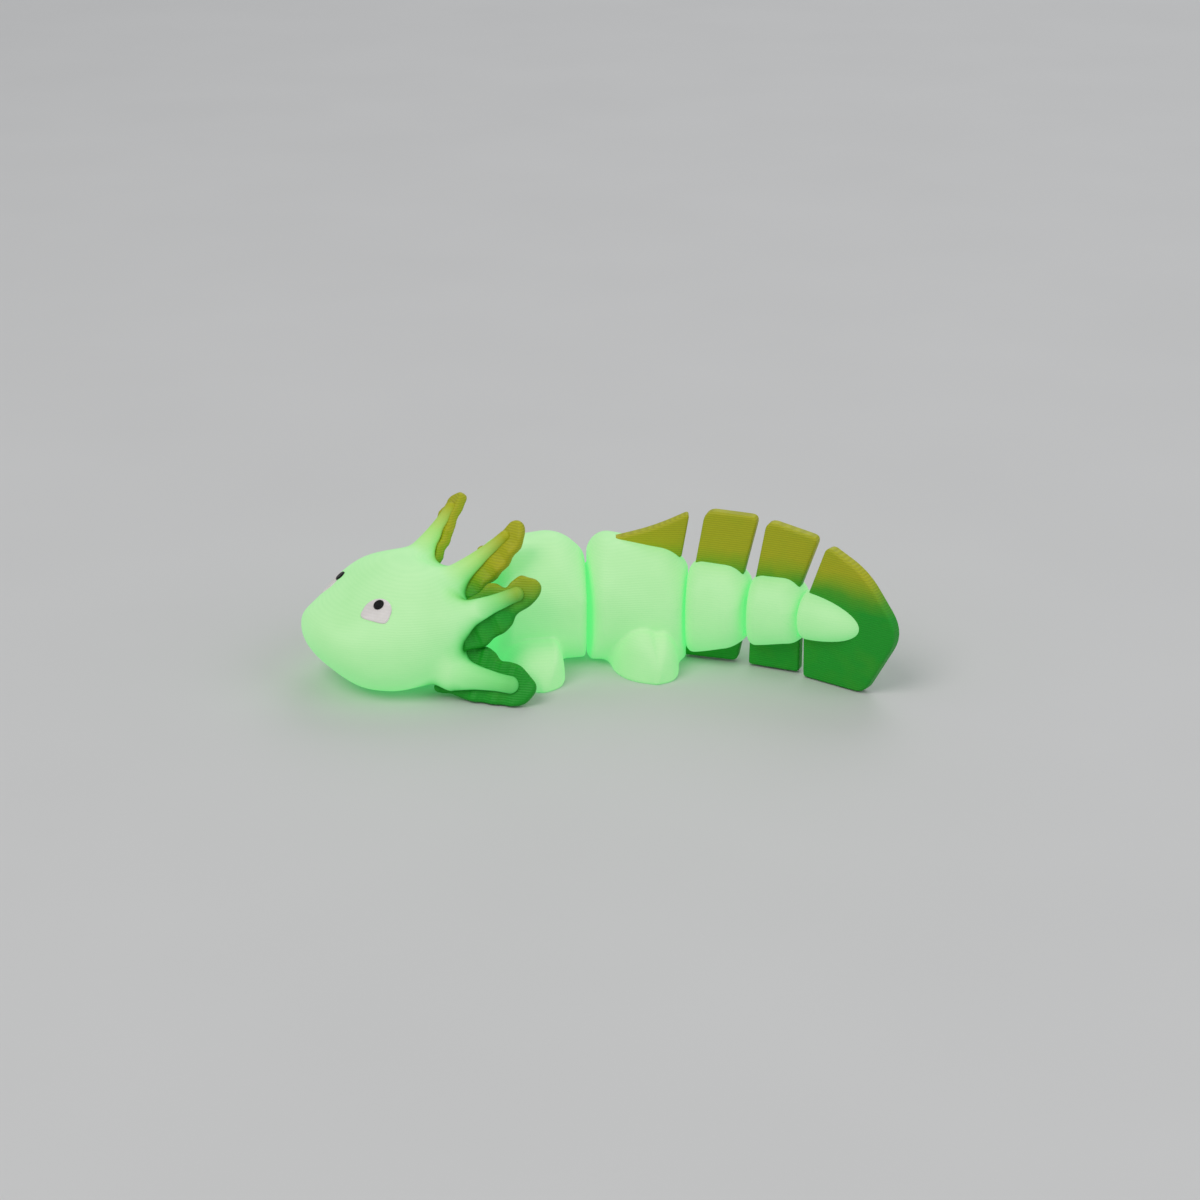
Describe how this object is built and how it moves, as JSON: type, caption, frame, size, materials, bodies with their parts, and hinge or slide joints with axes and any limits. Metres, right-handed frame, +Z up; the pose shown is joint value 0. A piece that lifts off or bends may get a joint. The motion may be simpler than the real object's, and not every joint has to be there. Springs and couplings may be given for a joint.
{
  "type": "jointed axolotl toy",
  "caption": "Small printed axolotl toy with a smooth head, feathery gill frills, paddle legs and a finned tail whose links swing on upright hinges.",
  "frame": {"origin": "on the flat of the belly under the hips link, at floor level, midway between its two sides", "axes": "+X from the hips toward the tail, along the hips link; +Y toward the animal's right side; +Z up"},
  "size_m": [0.0684, 0.0288, 0.0186],
  "materials": {
    "glow_body": "pale green glow-in-the-dark filament, satin, with fine printed layer lines",
    "fin_filament": "satin two-tone filament, green low down turning to olive yellow with height, fine layer lines",
    "eye_white": "matte off-white filament",
    "pupil_black": "satin black filament"
  },
  "bodies": {
    "hips": {"hips": "glow_body", "leg_rear_left": "glow_body", "leg_rear_right": "glow_body", "fin_hips": "fin_filament"},
    "chest": {"chest": "glow_body", "leg_front_left": "glow_body", "leg_front_right": "glow_body"},
    "head": {"head": "glow_body", "eye_left": "eye_white", "eye_right": "eye_white", "pupil_left": "pupil_black", "pupil_right": "pupil_black", "gill_upper_left": "glow_body", "gill_middle_left": "glow_body", "gill_lower_left": "glow_body", "gill_upper_right": "glow_body", "gill_middle_right": "glow_body", "gill_lower_right": "glow_body", "frill_upper_left": "fin_filament", "frill_middle_left": "fin_filament", "frill_lower_left": "fin_filament", "frill_upper_right": "fin_filament", "frill_middle_right": "fin_filament", "frill_lower_right": "fin_filament"},
    "tail_base": {"tail_base": "glow_body", "fin_upper_base": "fin_filament", "fin_lower_base": "fin_filament"},
    "tail_middle": {"tail_middle": "glow_body", "fin_upper_middle": "fin_filament", "fin_lower_middle": "fin_filament"},
    "tail_tip": {"tail_tip": "glow_body", "fin_tip": "fin_filament"}
  },
  "joints": [
    {"name": "waist", "type": "hinge", "parent": "hips", "child": "chest", "pos_m": [-0.0092, 0, 0.007], "axis": [0, 0, 1], "range_deg": [-36, 8]},
    {"name": "neck", "type": "hinge", "parent": "chest", "child": "head", "pos_m": [-0.02123, -0.003, 0.007], "axis": [0, 0, 1], "range_deg": [-38, 6]},
    {"name": "tail_joint_1", "type": "hinge", "parent": "hips", "child": "tail_base", "pos_m": [0.0032, 0, 0.006], "axis": [0, 0, 1], "range_deg": [-2, 36]},
    {"name": "tail_joint_2", "type": "hinge", "parent": "tail_base", "child": "tail_middle", "pos_m": [0.01104, -0.0024, 0.006], "axis": [0, 0, 1], "range_deg": [-13, 25]},
    {"name": "tail_joint_3", "type": "hinge", "parent": "tail_middle", "child": "tail_tip", "pos_m": [0.01758, -0.00517, 0.007], "axis": [0, 0, 1], "range_deg": [-5, 33]}
  ]
}
